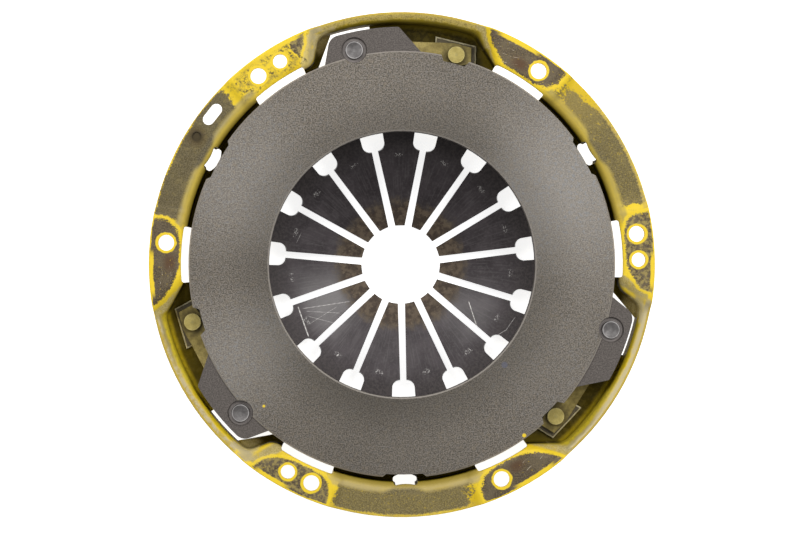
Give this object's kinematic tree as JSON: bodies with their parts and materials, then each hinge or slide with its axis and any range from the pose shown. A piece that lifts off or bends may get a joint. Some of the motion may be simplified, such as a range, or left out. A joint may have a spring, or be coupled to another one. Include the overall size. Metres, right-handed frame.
{
  "type": "clutch pressure plate",
  "caption": "Diaphragm spring clutch cover: pressed bowl with flywheel flange, cast friction ring hung on tangential straps, and slotted conical spring with release fingers.",
  "frame": {"origin": "centre of the plane in which the raised flange pads meet the flywheel", "axes": "+Z towards the flywheel, so the friction face looks up and the release fingers are lowest; +X through a dowel hole"},
  "size_m": [0.2866, 0.2866, 0.0471],
  "materials": {
    "cover_paint": "bright yellow paint, worn to dull steel on the raised pads and bends",
    "friction_iron": "machined and fine-grained, warm grey",
    "spring_steel": "blackened, with a brown heat band near the finger tips",
    "wire_steel": "drawn wire",
    "rivet_steel": "plain pressed steel",
    "strap_zinc": "olive yellow zinc passivation",
    "rivet_zinc": "pale yellow zinc passivation"
  },
  "bodies": {
    "cover_body": {"cover": "cover_paint", "diaphragm_spring": "spring_steel", "fulcrum_ring_plate_side": "wire_steel", "fulcrum_ring_cover_side": "wire_steel", "fulcrum_rivets": "rivet_steel", "strap_1_leaf_top": "strap_zinc", "strap_1_leaf_middle": "strap_zinc", "strap_1_leaf_bottom": "strap_zinc", "strap_1_spacer": "strap_zinc", "strap_1_cover_rivet": "rivet_zinc", "strap_2_leaf_top": "strap_zinc", "strap_2_leaf_middle": "strap_zinc", "strap_2_leaf_bottom": "strap_zinc", "strap_2_spacer": "strap_zinc", "strap_2_cover_rivet": "rivet_zinc", "strap_3_leaf_top": "strap_zinc", "strap_3_leaf_middle": "strap_zinc", "strap_3_leaf_bottom": "strap_zinc", "strap_3_spacer": "strap_zinc", "strap_3_cover_rivet": "rivet_zinc"},
    "plate_body": {"pressure_plate": "friction_iron", "strap_1_plate_rivet": "rivet_steel", "strap_2_plate_rivet": "rivet_steel", "strap_3_plate_rivet": "rivet_steel"}
  },
  "joints": [
    {"name": "plate_travel", "type": "slide", "parent": "cover_body", "child": "plate_body", "axis": [0, 0, 1], "range_m": [-0.0039, 0], "stiffness_N_per_m": 20000, "springref_m": 0.004, "deforming": ["diaphragm_spring", "strap_1_leaf_top", "strap_1_leaf_middle", "strap_1_leaf_bottom", "strap_2_leaf_top", "strap_2_leaf_middle", "strap_2_leaf_bottom", "strap_3_leaf_top", "strap_3_leaf_middle", "strap_3_leaf_bottom"]}
  ]
}
